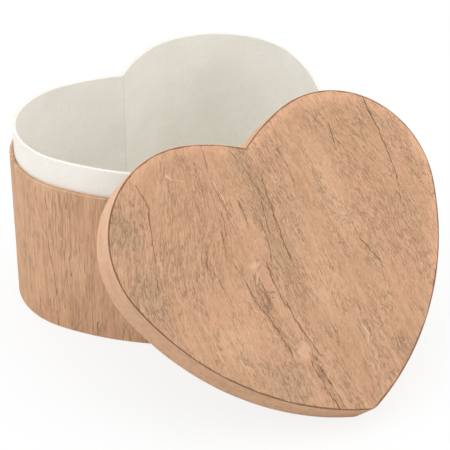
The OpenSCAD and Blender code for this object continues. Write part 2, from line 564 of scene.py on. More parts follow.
def take(tree: bpy.types.NodeTree, step: Step, *values: Value) -> Socket:
    """Takes one step in a node tree.

    Args:
        tree: Node tree that gets the step.
        step: The step.
        *values: Its values, in the order of its slots.

    Returns:
        The step's result.
    """
    node = add_node(tree, step.kind, dict(zip(step.slots, values)), **step.settings)
    return node.outputs[step.output]


class Follow(Enum):
    """What a pattern follows: the piece's map named print, or the object's coordinates."""

    PRINT = "print"
    OBJECT = "Object"


@dataclass(frozen=True)
class Streak:
    """A crack or a stain along the grain, from its head down to its foot, in mm on the sheet."""

    head: Pair
    foot: Pair
    bow: float = 0.0
    head_width: float = 0.35
    foot_width: float = 0.35


def streak_group() -> bpy.types.NodeTree:
    """Node group that gives 1 on a streak's line and 0 beside it.

    With s from 0 at the foot to 1 at the head, the line is at
    foot + (head - foot) * s + 4 * bow * s * (1 - s). Its width goes from foot to head and
    tapers out at both ends, by END_TAPER * s * (1 - s) up to 1.

    Returns:
        The group, made once.
    """
    found = bpy.data.node_groups.get("streak")
    if found:
        return found
    tree = bpy.data.node_groups.new("streak", "ShaderNodeTree")
    names = (
        "across", "along", "ragged", "head_x", "head_y", "foot_x", "foot_y", "bow", "head_w",
        "foot_w",
    )
    for name in names:
        tree.interface.new_socket(name=name, in_out="INPUT", socket_type="NodeSocketFloat")
    tree.interface.new_socket(name="mask", in_out="OUTPUT", socket_type="NodeSocketFloat")
    given = add_node(tree, "NodeGroupInput").outputs
    span = take(tree, Step.DIFFERENCE, given["head_y"], given["foot_y"])
    s = take(tree, Step.RATIO, take(tree, Step.DIFFERENCE, given["along"], given["foot_y"]), span)
    bell = take(tree, Step.PRODUCT, s, take(tree, Step.DIFFERENCE, 1.0, s))
    lean = take(tree, Step.DIFFERENCE, given["head_x"], given["foot_x"])
    straight = take(tree, Step.SCALED_SUM, lean, s, given["foot_x"])
    aside = take(tree, Step.PRODUCT, take(tree, Step.PRODUCT, given["bow"], bell), 4.0)
    line = take(tree, Step.SUM, straight, aside)
    off = take(tree, Step.SIZE, take(tree, Step.DIFFERENCE, given["across"], line))
    width = take(tree, Step.LINE, s, given["foot_w"], given["head_w"])
    ends = take(tree, Step.SMALLER, take(tree, Step.PRODUCT, bell, END_TAPER), 1.0)
    tapered = take(tree, Step.PRODUCT, width, take(tree, Step.LARGER, ends, 0.0))
    wide = take(tree, Step.PRODUCT, tapered, given["ragged"])
    add_node(tree, "NodeGroupOutput", {"mask": take(tree, Step.RAMP, off, 0.0, wide, 1.0, 0.0)})
    return tree


class Finish:
    """Lays out one material's node tree, from its coordinates to its shader."""

    def __init__(self, name: str, follow: Follow) -> None:
        """Starts an empty material.

        Args:
            name: Name of the material.
            follow: What its patterns follow.
        """
        self.material = bpy.data.materials.new(name)
        self.material.use_nodes = True
        self.tree = self.material.node_tree
        self.tree.nodes.clear()
        if follow is Follow.PRINT:
            place = add_node(self.tree, "UVMap", uv_map=follow.value).outputs[0]
        else:
            place = add_node(self.tree, "TexCoord").outputs[follow.value]
        self.place = self.node("VectorMath", {0: place, "Scale": PER_METRE}, operation="SCALE")

    def node(
        self, kind: str, inputs: dict | None = None, output: int | str = 0, **settings: object
    ) -> Socket:
        """Adds a node and returns one of its outputs."""
        return add_node(self.tree, kind, inputs, **settings).outputs[output]

    def take(self, step: Step, *values: Value) -> Socket:
        """Takes one step on the values."""
        return take(self.tree, step, *values)

    def product(self, *values: Socket | float) -> Socket | float:
        """Product of some values, one step after the other.

        Args:
            *values: Values to multiply.

        Returns:
            Their product.
        """
        total = values[0]
        for value in values[1:]:
            total = self.take(Step.PRODUCT, total, value)
        return total

    def coat(self, under: Value, code: str, *shares: Socket | float) -> Socket:
        """Colour with another laid over it, as strongly as the product of the shares."""
        return self.take(Step.COAT, self.product(*shares), under, linear(code))

    def parts(self) -> bpy.types.bpy_prop_collection:
        """The finish's coordinates in mm, one by one."""
        return add_node(self.tree, "SeparateXYZ", {0: self.place}).outputs

    def grain(
        self, size: tuple[float, ...], detail: float = 2.0, place: Socket | None = None,
        shift: float = 0.0, rough: float = 0.5,
    ) -> Socket:
        """Noise whose spots have a given size.

        Args:
            size: Size of a spot in mm along X, Y and Z of the pattern; Z as X if not given.
            detail: Finer octaves of the noise.
            place: Coordinates in mm, if not the finish's own.
            shift: Moves the pattern, so that two noises differ.
            rough: Strength of the finer octaves.

        Returns:
            Values about 0.5.
        """
        spots = {
            "Vector": place or self.place,
            "Location": (shift, shift / 2, shift / 3),
            "Scale": tuple(1 / length for length in (*size, size[0])[:3]),
        }
        scaled = self.node("Mapping", spots)
        noise = {"Vector": scaled, "Scale": 1.0, "Detail": detail, "Roughness": rough}
        return self.node("TexNoise", noise)

    def near(self, value: Socket, middle: float, reach: float) -> Socket:
        """Band about a value: 1 within a fifth of the reach, falling to 0 at the reach."""
        off = self.take(Step.SIZE, self.take(Step.DIFFERENCE, value, middle))
        return self.take(Step.RAMP, off, reach, reach * 0.2)

    def oval(self, across: Socket, along: Socket, centre: Pair, size: Pair) -> Socket:
        """Distance from an oval's centre, as a share of its half size.

        With x and y as shares of the half sizes, it is the root of x * x + y * y.

        Args:
            across: Coordinate across the grain in mm.
            along: Coordinate along the grain in mm.
            centre: Centre of the oval in mm.
            size: Half sizes of the oval in mm.

        Returns:
            0 at the centre, 1 on the oval.
        """
        x = self.take(Step.RATIO, self.take(Step.DIFFERENCE, across, centre[0]), size[0])
        y = self.take(Step.RATIO, self.take(Step.DIFFERENCE, along, centre[1]), size[1])
        return self.take(Step.ROOT, self.take(Step.SUM, self.product(x, x), self.product(y, y)))

    def close(self, colour: Socket, height: Socket, roughness: float) -> bpy.types.Material:
        """Ends the tree in a shader.

        Args:
            colour: Base colour.
            height: Height of the surface in mm, for the bump.
            roughness: Roughness of the shader.

        Returns:
            The finished material.
        """
        bump = self.node("Bump", {"Height": height, "Strength": 1.0, "Distance": MM})
        shader = {"Base Color": colour, "Roughness": roughness, "Normal": bump}
        surface = self.node("BsdfPrincipled", shader)
        add_node(self.tree, "OutputMaterial", {"Surface": surface})
        return self.material


@dataclass(frozen=True)
class Lines:
    """Coordinates of the grain in mm, and how ragged a streak is at each place.

    place is bent as the fibres run, straight wanders a little, and jagged breaks as cracks do.
    """

    place: Socket
    straight: Socket
    jagged: Socket
    along: Socket
    ragged: Socket


# A ramp is the pair of noise values, distances or places between which a mask goes from 0 to 1.
# A band is the middle and the reach of the values on a line. A share is how strongly a coat
# covers the colour under it.


@dataclass(frozen=True)
class Patch:
    """A soft oval patch of another tint, in mm on the sheet, and how much it draws fissures.

    Its ramps run over the distance from its centre, as a share of its half size.
    """

    centre: Pair
    size: Pair
    tint: str
    share: float = 0.5
    flock: float = 0.0
    spots: Pair = (3.0, 9.0)
    ragged: float = 1.2
    tint_ramp: Pair = (1.9, 0.8)
    flock_ramp: Pair = (1.3, 0.5)

    def span(self, finish: Finish, lines: Lines) -> Socket:
        """Distance from its centre, as a share of its half size."""
        return finish.oval(lines.straight, lines.along, self.centre, self.size)

    def over(self, finish: Finish, colour: Socket, lines: Lines) -> Socket:
        """Lays the patch with a soft ragged edge over a colour.

        Args:
            finish: Finish to add to.
            colour: Colour under the patch.
            lines: Coordinates of the grain.

        Returns:
            The colour with the patch.
        """
        spots = finish.grain(self.spots, detail=3.0, place=lines.place, shift=self.centre[0])
        edge = finish.take(Step.SCALED_SUM, spots, self.ragged, self.span(finish, lines))
        inside = finish.take(Step.RAMP, edge, *self.tint_ramp)
        return finish.coat(colour, self.tint, inside, self.share)

    def draw(self, finish: Finish, lines: Lines) -> Socket:
        """How densely it draws fissures: as much as its flock inside, and 0 outside."""
        inside = finish.take(Step.RAMP, self.span(finish, lines), *self.flock_ramp)
        return finish.product(inside, self.flock)


@dataclass(frozen=True)
class Knot:
    """A knot, in mm on the sheet: a smooth oval of another tint, with broken dark rings round it.

    Its ramps and bands run over the distance from its centre, as a share of its half size. The
    rings are the crests of a sine of that distance. The fibres part round an oval parting_size
    times as large, and lose the share parting of their distance from its middle.
    """

    centre: Pair
    size: Pair
    tint: str
    tint_share: float = 0.6
    tint_ramp: Pair = (1.3, 0.9)
    spots: Pair = (4.0, 7.0)
    ragged: float = 0.7
    ring_share: float = 0.6
    ring_turns: float = 17.0
    ring_crests: Pair = (0.5, 1.0)
    ring_band: Pair = (1.3, 0.62)
    break_size: Pair = (3.0, 6.0)
    break_ramp: Pair = (0.42, 0.58)
    parting: float = 0.45
    parting_size: float = 2.0
    parting_ramp: Pair = (1.6, 0.2)

    def part(self, finish: Finish, fibres: Socket, across: Socket, along: Socket) -> Socket:
        """Parts the fibres round the knot: near it, their across part shrinks to its middle.

        Args:
            finish: Finish to add to.
            fibres: Across part of the fibres in mm.
            across: Coordinate across the grain in mm.
            along: Coordinate along the grain in mm.

        Returns:
            Across part of the parted fibres in mm.
        """
        wide = (self.size[0] * self.parting_size, self.size[1] * self.parting_size)
        span = finish.oval(across, along, self.centre, wide)
        shrink = finish.take(Step.RAMP, span, *self.parting_ramp)
        keep = finish.take(Step.SCALED_SUM, shrink, -self.parting, 1.0)
        side = finish.take(Step.DIFFERENCE, fibres, self.centre[0])
        return finish.take(Step.SCALED_SUM, side, keep, self.centre[0])

    def over(self, finish: Finish, colour: Socket, lines: Lines, dark: str) -> Socket:
        """Lays the knot over a colour.

        Args:
            finish: Finish to add to.
            colour: Colour under the knot.
            lines: Coordinates of the grain.
            dark: Colour of the rings.

        Returns:
            The colour with the knot.
        """
        spots = finish.grain(self.spots, detail=3.0, shift=2.2)
        span = finish.oval(lines.straight, lines.along, self.centre, self.size)
        edge = finish.take(Step.SCALED_SUM, spots, self.ragged, span)
        inside = finish.take(Step.RAMP, edge, *self.tint_ramp)
        colour = finish.coat(colour, self.tint, inside, self.tint_share)
        rings = finish.take(Step.WAVE, finish.product(edge, self.ring_turns))
        crests = finish.take(Step.RAMP, rings, *self.ring_crests)
        breaks = finish.grain(self.break_size, detail=1.0, shift=4.4)
        broken = finish.take(Step.RAMP, breaks, *self.break_ramp)
        zone = finish.near(edge, *self.ring_band)
        return finish.coat(colour, dark, crests, broken, zone, self.ring_share)


@dataclass(frozen=True)
class FibreBend:
    """How the print's fibres run: they wander, as in a plank, and may fan out. Sizes are in mm.

    A sway is how many mm a line moves aside for a noise of 1. Cracks take crack_sway more of
    the quick waves, and the fine ones too. The fan leans the fibres by a share of their height
    over its foot: one share at the far left, one in the middle and one at the far right.
    """

    slow: Pair = (26.0, 30.0)
    quick: Pair = (6.0, 7.0)
    fine: Pair = (1.6, 2.2)
    slow_sway: float = 4.0
    quick_sway: float = 0.8
    crack_sway: float = 1.4
    fine_sway: float = 1.1
    fan: Triple = (0.0, 0.0, 0.0)
    fan_left: Pair = (-8.0, -55.0)
    fan_right: Pair = (-5.0, 50.0)
    fan_foot: Pair = (-18.0, 20.0)
    ragged_size: Pair = (2.5, 6.0)
    ragged_ramp: Pair = (0.3, 0.7)
    least_ragged: float = 0.3
    more_ragged: float = 1.3

    def lines(self, finish: Finish, knot: Knot | None) -> Lines:
        """Coordinates of the grain, bent as the fibres run.

        Args:
            finish: Finish to add to.
            knot: Knot that the fibres part round, if there is one.

        Returns:
            The coordinates in mm.
        """
        across, along, deep = finish.parts()
        slow, quick, fine = [
            finish.take(Step.DIFFERENCE, finish.grain(size, detail, shift=shift), 0.5)
            for size, detail, shift in (
                (self.slow, 1.0, 1.9), (self.quick, 2.0, 5.3), (self.fine, 1.0, 8.1),
            )
        ]
        straight = finish.take(Step.SCALED_SUM, quick, self.quick_sway, across)
        bent = finish.take(Step.SCALED_SUM, quick, self.crack_sway, straight)
        jagged = finish.take(Step.SCALED_SUM, fine, self.fine_sway, bent)
        fibres = finish.take(Step.SCALED_SUM, slow, self.slow_sway, straight)
        if any(self.fan):
            fibres = self.fan_out(finish, fibres, across, along)
        if knot:
            fibres = knot.part(finish, fibres, across, along)
        place = finish.node("CombineXYZ", {0: fibres, 1: along, 2: deep})
        spots = finish.grain(self.ragged_size, shift=13.0)
        uneven = finish.take(Step.RAMP, spots, *self.ragged_ramp)
        ragged = finish.take(Step.SCALED_SUM, uneven, self.more_ragged, self.least_ragged)
        return Lines(place, straight, jagged, along, ragged)

    def fan_out(self, finish: Finish, fibres: Socket, across: Socket, along: Socket) -> Socket:
        """Leans the fibres: across part - lean * height over the fan's foot.

        Args:
            finish: Finish to add to.
            fibres: Across part of the fibres in mm.
            across: Coordinate across the grain in mm.
            along: Coordinate along the grain in mm.

        Returns:
            Across part of the leaning fibres in mm.
        """
        left, middle, right = self.fan
        to_left = finish.take(Step.RAMP, across, *self.fan_left)
        to_right = finish.take(Step.RAMP, across, *self.fan_right)
        lean = finish.take(Step.SCALED_SUM, to_left, left - middle, middle)
        lean = finish.take(Step.SCALED_SUM, to_right, right - middle, lean)
        above = finish.take(Step.SOFT_LARGER, along, *self.fan_foot)
        return finish.take(Step.DIFFERENCE, fibres, finish.product(lean, above))


@dataclass(frozen=True)
class Fissures:
    """Short dark lines along the grain, in flocks, each with an embossed ridge beside it, raised
    in the bump and painted lighter as a highlight.

    They are where a stretched noise crosses its middle value, cut into pieces by another. The
    size of the long lines' noise is in mm across and along the grain, and those of the short
    lines' and the pieces' are shares of it. sparse is the lines' strength between flocks.
    """

    size: Pair = (1.9, 13.0)
    short_size: Pair = (0.56, 0.6)
    piece_size: Pair = (0.6, 0.34)
    flock_size: Pair = (9.0, 22.0)
    flock_ramp: Pair = (0.42, 0.62)
    long_band: Pair = (0.5, 0.035)
    short_band: Pair = (0.47, 0.05)
    long_ridge_band: Pair = (0.56, 0.022)
    short_ridge_band: Pair = (0.55, 0.028)
    long_ramp: Pair = (0.46, 0.6)
    short_ramp: Pair = (0.54, 0.42)
    ridge_ramp: Pair = (0.4, 0.58)
    sparse: float = 0.4
    share: float = 0.32
    ridge_highlight_share: float = 0.34

    def masks(
        self, finish: Finish, lines: Lines, patches: tuple[Patch, ...]
    ) -> tuple[Socket, Socket]:
        """Masks of the lines and of the ridges beside them, which carry the painted highlight.

        Args:
            finish: Finish to add to.
            lines: Coordinates of the grain.
            patches: Patches that draw more fissures.

        Returns:
            1 in a fissure, 0 beside it, and the same for the ridges.
        """
        across, along = self.size
        wide, thin, pieces = [
            finish.grain((across * wider, along * longer), detail, lines.place, shift=shift)
            for (wider, longer), detail, shift in (
                ((1.0, 1.0), 3.0, 11.0), (self.short_size, 3.0, 21.0),
                (self.piece_size, 1.0, 17.0),
            )
        ]
        spots = finish.grain(self.flock_size, shift=29.0)
        flocks = finish.take(Step.RAMP, spots, *self.flock_ramp)
        for patch in patches:
            flocks = finish.take(Step.LARGER, flocks, patch.draw(finish, lines))
        long_kept = finish.take(Step.RAMP, pieces, *self.long_ramp)
        long_lines = finish.product(finish.near(wide, *self.long_band), long_kept)
        short_kept = finish.take(Step.RAMP, pieces, *self.short_ramp)
        short_lines = finish.product(finish.near(thin, *self.short_band), short_kept)
        dense = finish.take(Step.SCALED_SUM, flocks, 1 - self.sparse, self.sparse)
        fissures = finish.product(finish.take(Step.LARGER, long_lines, short_lines), dense)
        # Ridges just beside the lines, where a highlight is painted
        long_ridges = finish.near(wide, *self.long_ridge_band)
        short_ridges = finish.near(thin, *self.short_ridge_band)
        ridges = finish.take(Step.LARGER, long_ridges, short_ridges)
        ridge_kept = finish.take(Step.RAMP, pieces, *self.ridge_ramp)
        return fissures, finish.product(ridges, ridge_kept, dense)


@dataclass(frozen=True)
class CutEdge:
    """Edge of a cut sheet: a warmer tint beside it on the lobes' side, and the brown line on it,
    partly the paper's darker cut core and partly painted shadow where it meets the rim.

    The edge's ramps run over the distance from the cut in mm, made ragged by a noise. The
    side's runs over along + slant * across in mm.
    """

    tint: str
    tint_share: float = 0.75
    tint_ragged: float = 14.0
    tint_ramp: Pair = (16.0, 7.0)
    slant: float = 0.8
    side_ramp: Pair = (-35.0, 10.0)
    # Strength, unevenness and ramp of the dark line: cut core and painted shadow
    line_share: float = 0.75
    line_spots: Pair = (9.0, 9.0)
    line_ragged: float = 1.55
    line_ramp: Pair = (-0.05, -0.5)

    def add_tint(self, finish: Finish, colour: Socket, blotches: Socket) -> Socket:
        """Lays the tint over the colour of the ground.

        Args:
            finish: Finish to add to.
            colour: Colour of the ground.
            blotches: Large soft noise that makes the tint ragged.

        Returns:
            The colour with its tinted edge.
        """
        edge = finish.node("Attribute", output="Fac", attribute_name="edge")
        ragged = finish.take(Step.SCALED_SUM, blotches, self.tint_ragged, edge)
        across, along, _ = finish.parts()
        slanted = finish.take(Step.SCALED_SUM, across, self.slant, along)
        side = finish.take(Step.RAMP, slanted, *self.side_ramp)
        near_edge = finish.take(Step.RAMP, ragged, *self.tint_ramp)
        return finish.coat(colour, self.tint, near_edge, side, self.tint_share)

    def add_line(self, finish: Finish, colour: Socket, dark: str) -> Socket:
        """Draws the line, uneven in width, over the colour of the sheet: the darker cut core with
        painted shadow.

        Args:
            finish: Finish to add to.
            colour: Colour of the sheet.
            dark: Colour of the line.

        Returns:
            The colour with the line.
        """
        edge = finish.node("Attribute", output="Fac", attribute_name="edge")
        uneven = finish.grain(self.line_spots, detail=3.0, shift=6.6)
        ragged = finish.take(Step.SCALED_SUM, uneven, -self.line_ragged, edge)
        line = finish.take(Step.RAMP, ragged, *self.line_ramp)
        return finish.coat(colour, dark, line, self.line_share)


@dataclass(frozen=True)
class SeamShadeFoldHighlight:
    """Painted shade where the neck meets the paper, and a painted highlight along the paper's
    fold.

    Each is at an inset from the wall's outer face and fades out at its reach, all in mm.
    """

    seam_inset: float
    fold_inset: float
    seam_reach: float = 0.9
    fold_reach: float = 0.6
    # Strength of the painted seam shade; the painted fold highlight's least strength and its rise
    # with the noise follow
    seam_shade_share: float = 0.45
    least_fold_highlight: float = 0.2
    more_fold_highlight: float = 0.25

    def over(self, finish: Finish, colour: Socket, lines: Lines, dark: str, pale: str) -> Socket:
        """Paints the seam's shade and the fold's highlight over a colour.

        Args:
            finish: Finish to add to.
            colour: Colour of the paper.
            lines: Coordinates of the grain.
            dark: Colour of the painted shade in the seam.
            pale: Colour of the painted highlight on the fold.

        Returns:
            The colour with the painted shade and the painted highlight.
        """
        inset = finish.node("Attribute", output="Fac", attribute_name="inset")
        # Painted shade in the seam where the neck meets the wall's paper
        seam = finish.near(inset, self.seam_inset, self.seam_reach)
        colour = finish.coat(colour, dark, seam, self.seam_shade_share)
        # Painted highlight along the paper's top fold, uneven in strength
        fold_highlight = finish.take(Step.SCALED_SUM, lines.ragged, self.more_fold_highlight, self.least_fold_highlight)
        fold = finish.near(inset, self.fold_inset, self.fold_reach)
        return finish.coat(colour, pale, fold, fold_highlight)


@dataclass(frozen=True)
class WoodPrintPaper:
    """Wood-look covering paper, offset-printed and embossed along the grain, uncoated.

    The eye sees matt tan fibres, short dark fissures that the embossing sinks, and long ragged
    cracks. Sizes are in mm across and along the grain. A printed fibre is 0.1 to 0.2 mm wide,
    too fine to show, so it is drawn 0.6 mm wide.
    """

    name: str
    follow: Follow = Follow.PRINT
    light: str = "#D9AE8B"
    middle: str = "#C69A77"
    dark: str = "#B58A68"
    shade: str = "#8E684A"
    pink: str = "#CD9A7B"
    stain: str = "#A68462"
    crack: str = "#5E4029"
    # Pale colour for print streaks, and for painted highlights on ridges, beside cracks and on the
    # wall's fold
    hair: str = "#EBCBA9"
    fibre: Pair = (0.6, 4.0)
    band: Pair = (2.6, 46.0)
    blotch: Pair = (20.0, 34.0)
    band_ramp: Pair = (0.3, 0.7)
    pink_ramp: Pair = (0.45, 0.7)
    dark_ramp: Pair = (0.45, 0.25)
    shade_ramp: Pair = (0.48, 0.3)
    light_ramp: Pair = (0.52, 0.7)
    middle_share: float = 0.6
    pink_share: float = 0.5
    dark_share: float = 0.35
    shade_share: float = 0.36
    light_share: float = 0.7
    stain_share: float = 0.6
    crack_share: float = 0.8
    hair_share: float = 0.6
    emboss: float = 0.1
    sinking: float = 0.2
    rise: float = 0.08
    roughness: float = 0.8
    bend: FibreBend = FibreBend()
    fissures: Fissures = Fissures()
    cracks: tuple[Streak, ...] = ()
    hairs: tuple[Streak, ...] = ()
    stains: tuple[Streak, ...] = ()
    patches: tuple[Patch, ...] = ()
    knot: Knot | None = None
    edge: CutEdge | None = None
    # Painted seam shade and painted fold highlight, where the paper has them
    seam: SeamShadeFoldHighlight | None = None

    def material(self) -> bpy.types.Material:
        """Builds the material, from the printed ground up to the embossing.

        Returns:
            The finished material.
        """
        finish = Finish(self.name, self.follow)
        lines = self.bend.lines(finish, self.knot)
        fibres = finish.grain(self.fibre, detail=4.0, place=lines.place, rough=0.65)
        blotches = finish.grain(self.blotch, detail=3.0, shift=7.7)
        colour = self.ground(finish, lines, blotches)
        if self.edge:
            colour = self.edge.add_tint(finish, colour, blotches)
        for patch in self.patches:
            colour = patch.over(finish, colour, lines)
        stains = self.streaks(finish, lines.straight, lines, self.stains)
        colour = finish.coat(colour, self.stain, stains, self.stain_share)
        low = finish.take(Step.RAMP, fibres, *self.shade_ramp)
        high = finish.take(Step.RAMP, fibres, *self.light_ramp)
        colour = finish.coat(colour, self.shade, low, self.shade_share)
        colour = finish.coat(colour, self.light, high, self.light_share)
        fissures, ridges = self.fissures.masks(finish, lines, self.patches)
        # Painted highlight on the embossed ridges beside the fissures
        colour = finish.coat(colour, self.hair, ridges, self.fissures.ridge_highlight_share)
        colour = finish.coat(colour, self.crack, fissures, self.fissures.share)
        if self.knot:
            colour = self.knot.over(finish, colour, lines, self.crack)
        cracks = self.streaks(finish, lines.jagged, lines, self.cracks)
        hairs = self.streaks(finish, lines.straight, lines, self.hairs)
        colour = finish.coat(colour, self.crack, cracks, self.crack_share)
        # Pale streaks: print, and painted highlight beside cracks
        colour = finish.coat(colour, self.hair, hairs, self.hair_share)
        # Dark cut edge of the sheet, partly painted shadow where it meets the rim
        if self.edge:
            colour = self.edge.add_line(finish, colour, self.crack)
        # Painted shade at the neck's seam and painted highlight on the wall's top fold
        if self.seam:
            colour = self.seam.over(finish, colour, lines, self.shade, self.hair)
        sunk = finish.product(finish.take(Step.LARGER, fissures, cracks), self.sinking)
        height = finish.take(Step.DIFFERENCE, finish.product(fibres, self.emboss), sunk)
        raised = finish.take(Step.LARGER, hairs, ridges)
        height = finish.take(Step.SCALED_SUM, raised, self.rise, height)
        return finish.close(colour, height, self.roughness)

    def ground(self, finish: Finish, lines: Lines, blotches: Socket) -> Socket:
        """Printed ground: long bands along the grain, tinted by large blotches.

        Args:
            finish: Finish to add to.
            lines: Coordinates of the grain.
            blotches: Large soft noise.

        Returns:
            Colour of the ground.
        """
        bands = finish.grain(self.band, detail=3.0, place=lines.place, shift=3.1)
        pale = finish.take(Step.RAMP, bands, *self.band_ramp)
        tinted = finish.take(Step.RAMP, blotches, *self.pink_ramp)
        darker = finish.take(Step.RAMP, blotches, *self.dark_ramp)
        colour = finish.coat(linear(self.dark), self.light, pale)
        colour = finish.coat(colour, self.middle, self.middle_share)
        colour = finish.coat(colour, self.pink, tinted, self.pink_share)
        return finish.coat(colour, self.dark, darker, self.dark_share)

    def streaks(
        self, finish: Finish, across: Socket, lines: Lines, streaks: tuple[Streak, ...]
    ) -> Socket | float:
        """Widest mask of some streaks.

        Args:
            finish: Finish to add to.
            across: Coordinate across the grain in mm.
            lines: Coordinates of the grain.
            streaks: Streaks to draw.

        Returns:
            1 on a streak, 0 beside all of them.
        """
        widest = 0.0
        for streak in streaks:
            given = {
                "across": across, "along": lines.along, "ragged": lines.ragged,
                "head_x": streak.head[0], "head_y": streak.head[1],
                "foot_x": streak.foot[0], "foot_y": streak.foot[1],
                "bow": streak.bow, "head_w": streak.head_width, "foot_w": streak.foot_width,
            }
            mask = finish.node("Group", given, node_tree=streak_group())
            widest = finish.take(Step.LARGER, widest, mask)
        return widest


@dataclass(frozen=True)
class RimPaper:
    """The lid rim's strip of the same uncoated printed paper, from a pale stretch of the print.

    The eye sees an almost plain peach with faint fibres along the strip, browner and mottled
    towards the heart's tip, and the dark line where the top sheet ends. The browning is painted
    shade where the rim faces down to the floor, and the line is painted shadow at the sheet's
    edge. Sizes are in mm along and across the strip, and the fibres are drawn as coarse as the
    top sheet's.
    """

    name: str = "rim_wood_print_paper"
    light: str = "#F0C4A4"
    middle: str = "#E2B28F"
    brown: str = "#BC916E"
    dull: str = "#9C7A5A"
    # Colour of the painted shadow line at the top sheet's edge
    line: str = "#6B4A30"
    fibre: Pair = (2.2, 0.8)
    cloud: Pair = (22.0, 9.0)
    crease: Pair = (3.0, 5.0)
    flock: Pair = (14.0, 9.0)
    mottle: Pair = (3.2, 2.0)
    light_ramp: Pair = (0.3, 0.7)
    cloud_ramp: Pair = (0.45, 0.75)
    crease_band: Pair = (0.5, 0.02)
    flock_ramp: Pair = (0.58, 0.66)
    mottle_ramp: Pair = (0.46, 0.62)
    cloud_share: float = 0.5
    crease_share: float = 0.35
    tip_shade_share: float = 0.66
    dull_share: float = 0.4
    line_share: float = 0.7
    # Place of the heart's tip along the strip, and the ramp of the painted tip shade, in mm
    tip_length: float = 281.0
    tip_ramp: Pair = (208.0, 115.0)
    shadow_line_band: Pair = (0.15, 0.35)
    shadow_line_level: Pair = (18.2, 18.6)
    sinking: float = 0.12
    emboss: float = 0.05
    roughness: float = 0.78

    def material(self) -> bpy.types.Material:
        """Builds the material.

        Returns:
            The finished material.
        """
        finish = Finish(self.name, Follow.PRINT)
        fibres = finish.grain(self.fibre, detail=4.0, rough=0.65)
        clouds = finish.grain(self.cloud, detail=3.0, shift=4.0)
        pale = finish.take(Step.RAMP, fibres, *self.light_ramp)
        cloudy = finish.take(Step.RAMP, clouds, *self.cloud_ramp)
        colour = finish.coat(linear(self.middle), self.light, pale)
        colour = finish.coat(colour, self.brown, cloudy, self.cloud_share)
        creases = finish.near(finish.grain(self.crease, shift=9.0), *self.crease_band)
        spots = finish.grain(self.flock, detail=1.0, shift=31.0)
        creases = finish.product(creases, finish.take(Step.RAMP, spots, *self.flock_ramp))
        colour = finish.coat(colour, self.brown, creases, self.crease_share)
        length, level, _ = finish.parts()
        # Painted shade: browner towards the heart's tip, where the rim faces down to the floor
        from_tip = finish.take(Step.SIZE, finish.take(Step.DIFFERENCE, length, self.tip_length))
        painted_tip_shade = finish.take(Step.RAMP, from_tip, *self.tip_ramp)
        colour = finish.coat(colour, self.brown, painted_tip_shade, self.tip_shade_share)
        # Dull mottle, laid only where the painted tip shade is
        mottle = finish.grain(self.mottle, detail=4.0, shift=14.0, rough=0.7)
        mottled = finish.take(Step.RAMP, mottle, *self.mottle_ramp)
        colour = finish.coat(colour, self.dull, mottled, painted_tip_shade, self.dull_share)
        # Painted shadow: a dark line on the rim's top fold, where the top sheet's edge lies
        inset = finish.node("Attribute", output="Fac", attribute_name="inset")
        line = finish.near(inset, *self.shadow_line_band)
        on_top = finish.take(Step.RAMP, level, *self.shadow_line_level)
        colour = finish.coat(colour, self.line, line, on_top, self.line_share)
        raised = finish.product(fibres, self.emboss)
        height = finish.take(Step.SCALED_SUM, creases, -self.sinking, raised)
        return finish.close(colour, height, self.roughness)


@dataclass(frozen=True)
class LiningPaper:
    """Smooth white uncoated lining paper, calendered and glued down.

    The eye sees a matt warm white with faint clouds and upright ripples where the glue took up,
    a rare speck, and a fine grey line of painted shade in the crease of the cleft. Sizes are in
    mm. Paper fibres are about 0.03 mm wide, too fine to show, so their flecks are drawn 1.1 mm
    wide.
    """

    name: str = "white_lining_paper"
    white: str = "#F7F5EF"
    cloud: str = "#EAE5D9"
    # Grey of the painted shade in the crease of the cleft
    crease: str = "#B9B1A0"
    speck: str = "#8F8574"
    cloud_size: float = 22.0
    fibre_size: float = 1.1
    ripple: Triple = (6.0, 6.0, 45.0)
    speck_spacing: float = 26.0
    speck_reach: Pair = (0.52, 0.312)
    cloud_ramp: Pair = (0.35, 0.7)
    fibre_ramp: Pair = (0.4, 0.75)
    cloud_share: float = 0.35
    fibre_share: float = 0.5
    speck_share: float = 0.6
    crease_share: float = 0.6
    ripple_height: float = 0.07
    fibre_height: float = 0.015
    roughness: float = 0.65

    def material(self) -> bpy.types.Material:
        """Builds the material.

        Returns:
            The finished material.
        """
        finish = Finish(self.name, Follow.OBJECT)
        clouds = finish.grain((self.cloud_size, self.cloud_size), detail=4.0)
        fibres = finish.grain((self.fibre_size, self.fibre_size), detail=3.0, shift=2.0)
        ripples = finish.grain(self.ripple, shift=5.0)
        cloudy = finish.take(Step.RAMP, clouds, *self.cloud_ramp)
        flecks = finish.take(Step.RAMP, fibres, *self.fibre_ramp)
        colour = finish.coat(linear(self.white), self.cloud, cloudy, self.cloud_share)
        colour = finish.coat(colour, self.cloud, flecks, self.fibre_share)
        cells = {"Vector": finish.place, "Scale": 1 / self.speck_spacing}
        reach = [radius / self.speck_spacing for radius in self.speck_reach]
        specks = finish.take(Step.RAMP, finish.node("TexVoronoi", cells), *reach)
        colour = finish.coat(colour, self.speck, specks, self.speck_share)
        # Painted shade: a fine grey line in the crease of the cleft
        cleft = finish.node("Attribute", output="Fac", attribute_name="cleft")
        colour = finish.coat(colour, self.crease, cleft, self.crease_share)
        flat = finish.product(fibres, self.fibre_height)
        height = finish.take(Step.SCALED_SUM, ripples, self.ripple_height, flat)
        return finish.close(colour, height, self.roughness)


